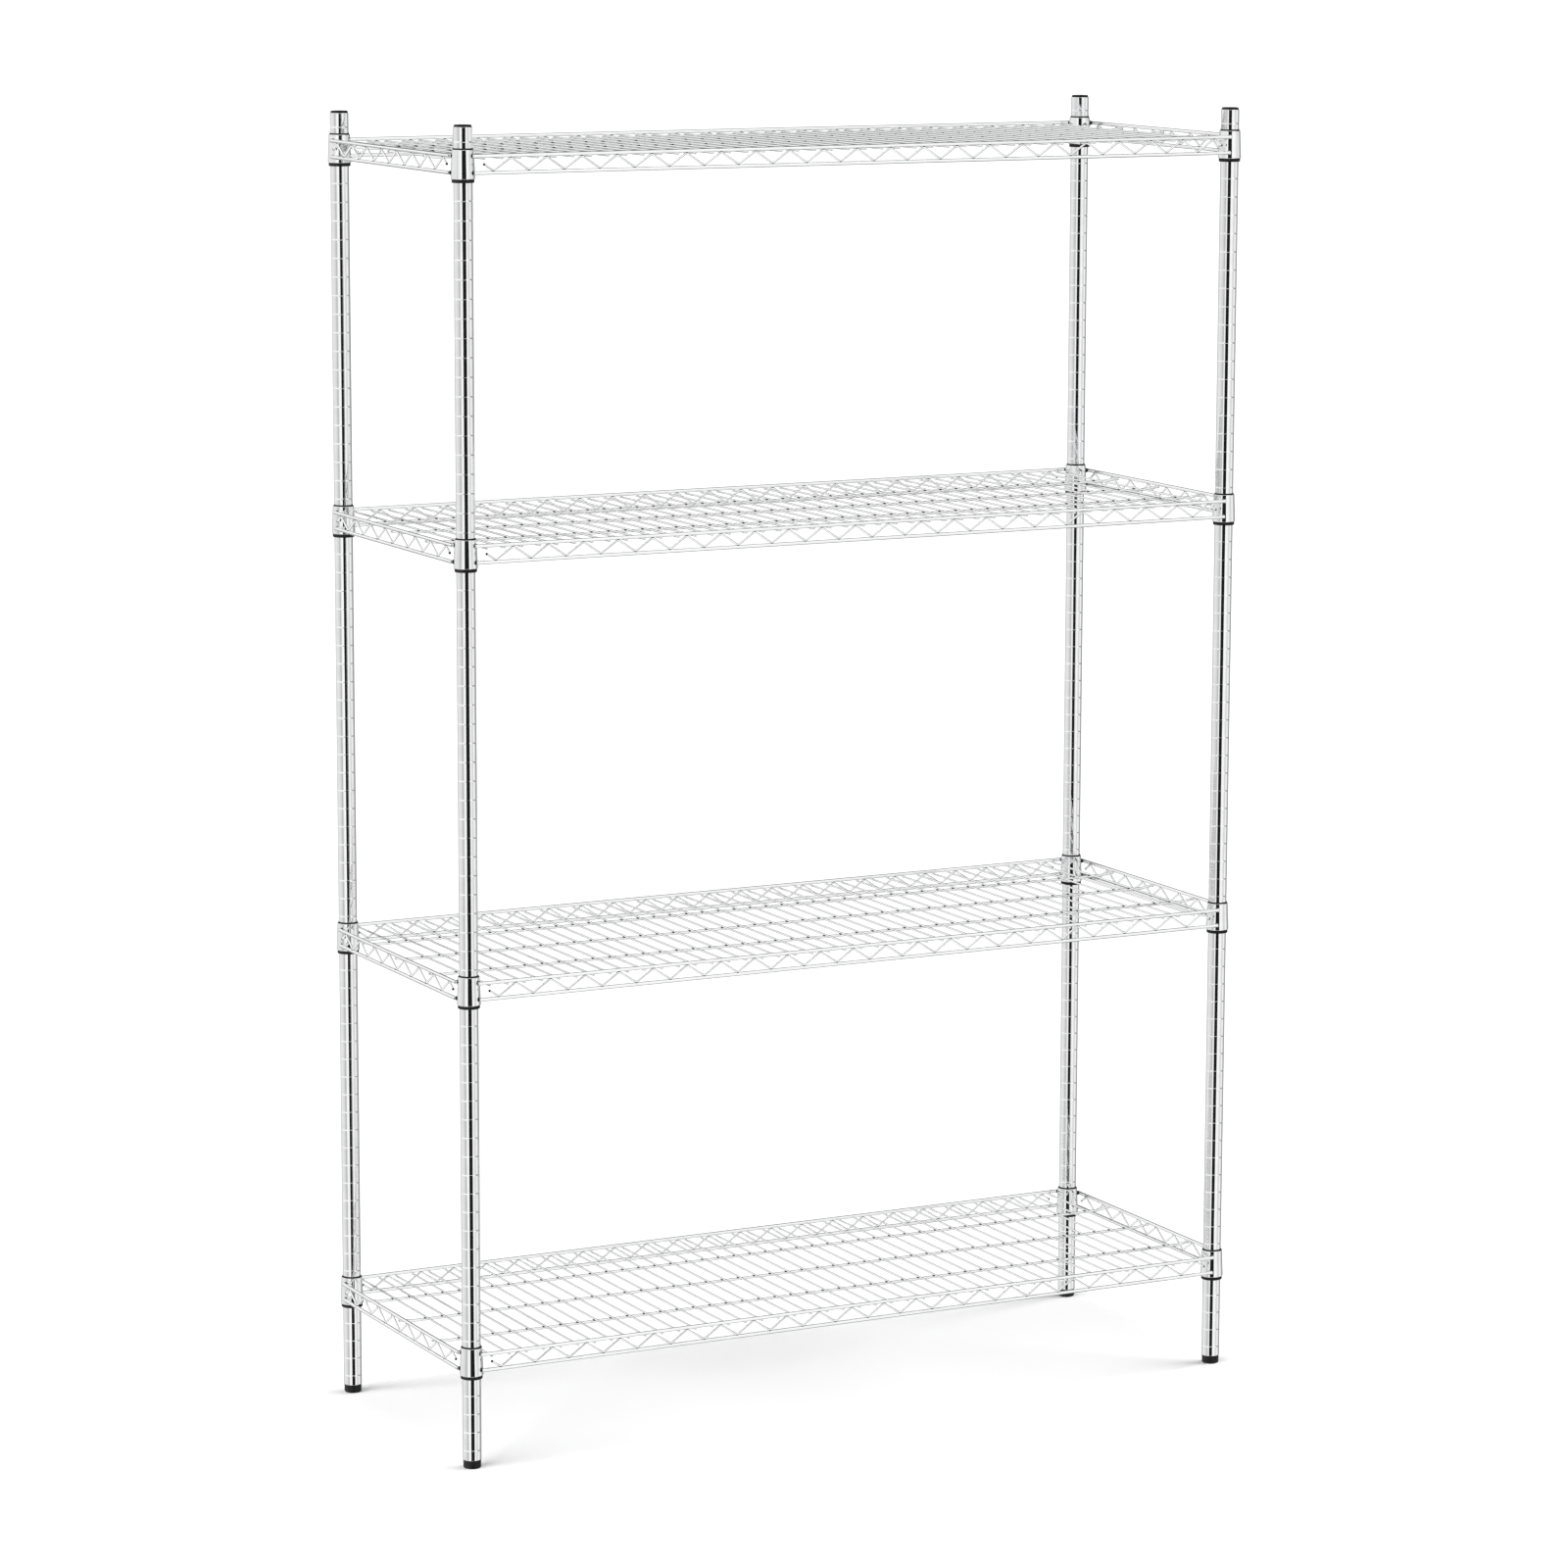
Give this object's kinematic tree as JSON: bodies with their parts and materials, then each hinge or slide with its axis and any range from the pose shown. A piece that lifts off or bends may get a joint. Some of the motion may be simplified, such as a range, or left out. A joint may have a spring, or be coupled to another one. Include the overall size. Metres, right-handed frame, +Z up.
{
  "type": "wire shelving rack",
  "caption": "Free-standing chrome wire rack: round grooved posts on levelling feet carry wire shelves that wedge on split sleeves and lift off.",
  "frame": {"origin": "on the floor, under the middle of the rack", "axes": "+X to the rack's right seen from the front, +Y to its back, +Z up along the posts"},
  "size_m": [1.2, 0.45, 1.8],
  "materials": {
    "post_chrome": "bright chrome plate over steel tube",
    "collar_chrome": "bright chrome plate",
    "wire_chrome": "bright chrome plate over drawn wire",
    "sleeve_plastic": "moulded black plastic, satin",
    "black_plastic": "moulded black plastic, satin",
    "foot_plastic": "moulded black plastic, fine texture",
    "insert_plastic": "moulded black plastic",
    "stud_zinc": "zinc-plated threaded steel"
  },
  "bodies": {
    "posts": {"post_front_left": "post_chrome", "cap_front_left": "black_plastic", "foot_insert_front_left": "insert_plastic", "post_front_right": "post_chrome", "cap_front_right": "black_plastic", "foot_insert_front_right": "insert_plastic", "post_rear_left": "post_chrome", "cap_rear_left": "black_plastic", "foot_insert_rear_left": "insert_plastic", "post_rear_right": "post_chrome", "cap_rear_right": "black_plastic", "foot_insert_rear_right": "insert_plastic", "shelf_1_sleeve_front_left": "sleeve_plastic", "shelf_1_sleeve_front_right": "sleeve_plastic", "shelf_1_sleeve_rear_left": "sleeve_plastic", "shelf_1_sleeve_rear_right": "sleeve_plastic", "shelf_2_sleeve_front_left": "sleeve_plastic", "shelf_2_sleeve_front_right": "sleeve_plastic", "shelf_2_sleeve_rear_left": "sleeve_plastic", "shelf_2_sleeve_rear_right": "sleeve_plastic", "shelf_3_sleeve_front_left": "sleeve_plastic", "shelf_3_sleeve_front_right": "sleeve_plastic", "shelf_3_sleeve_rear_left": "sleeve_plastic", "shelf_3_sleeve_rear_right": "sleeve_plastic", "shelf_4_sleeve_front_left": "sleeve_plastic", "shelf_4_sleeve_front_right": "sleeve_plastic", "shelf_4_sleeve_rear_left": "sleeve_plastic", "shelf_4_sleeve_rear_right": "sleeve_plastic"},
    "shelf_1": {"shelf_1_collars": "collar_chrome", "shelf_1_top_frame": "wire_chrome", "shelf_1_bottom_frame": "wire_chrome", "shelf_1_truss": "wire_chrome", "shelf_1_deck_wires": "wire_chrome", "shelf_1_support_rods": "wire_chrome"},
    "shelf_2": {"shelf_2_collars": "collar_chrome", "shelf_2_top_frame": "wire_chrome", "shelf_2_bottom_frame": "wire_chrome", "shelf_2_truss": "wire_chrome", "shelf_2_deck_wires": "wire_chrome", "shelf_2_support_rods": "wire_chrome"},
    "shelf_3": {"shelf_3_collars": "collar_chrome", "shelf_3_top_frame": "wire_chrome", "shelf_3_bottom_frame": "wire_chrome", "shelf_3_truss": "wire_chrome", "shelf_3_deck_wires": "wire_chrome", "shelf_3_support_rods": "wire_chrome"},
    "shelf_4": {"shelf_4_collars": "collar_chrome", "shelf_4_top_frame": "wire_chrome", "shelf_4_bottom_frame": "wire_chrome", "shelf_4_truss": "wire_chrome", "shelf_4_deck_wires": "wire_chrome", "shelf_4_support_rods": "wire_chrome"},
    "foot_front_left": {"foot_pad_front_left": "foot_plastic", "foot_stud_front_left": "stud_zinc"},
    "foot_front_right": {"foot_pad_front_right": "foot_plastic", "foot_stud_front_right": "stud_zinc"},
    "foot_rear_left": {"foot_pad_rear_left": "foot_plastic", "foot_stud_rear_left": "stud_zinc"},
    "foot_rear_right": {"foot_pad_rear_right": "foot_plastic", "foot_stud_rear_right": "stud_zinc"}
  },
  "joints": [
    {"name": "shelf_1_lift", "type": "slide", "parent": "posts", "child": "shelf_1", "axis": [0, 0, 1], "range_m": [0, 0.4642]},
    {"name": "shelf_2_lift", "type": "slide", "parent": "posts", "child": "shelf_2", "axis": [0, 0, 1], "range_m": [0, 0.5404]},
    {"name": "shelf_3_lift", "type": "slide", "parent": "posts", "child": "shelf_3", "axis": [0, 0, 1], "range_m": [0, 0.4642]},
    {"name": "shelf_4_lift", "type": "slide", "parent": "posts", "child": "shelf_4", "axis": [0, 0, 1], "range_m": [0, 0.1]},
    {"name": "foot_front_left_adjust", "type": "slide", "parent": "posts", "child": "foot_front_left", "axis": [0, 0, -1], "range_m": [0, 0.02]},
    {"name": "foot_front_right_adjust", "type": "slide", "parent": "posts", "child": "foot_front_right", "axis": [0, 0, -1], "range_m": [0, 0.02]},
    {"name": "foot_rear_left_adjust", "type": "slide", "parent": "posts", "child": "foot_rear_left", "axis": [0, 0, -1], "range_m": [0, 0.02]},
    {"name": "foot_rear_right_adjust", "type": "slide", "parent": "posts", "child": "foot_rear_right", "axis": [0, 0, -1], "range_m": [0, 0.02]}
  ]
}
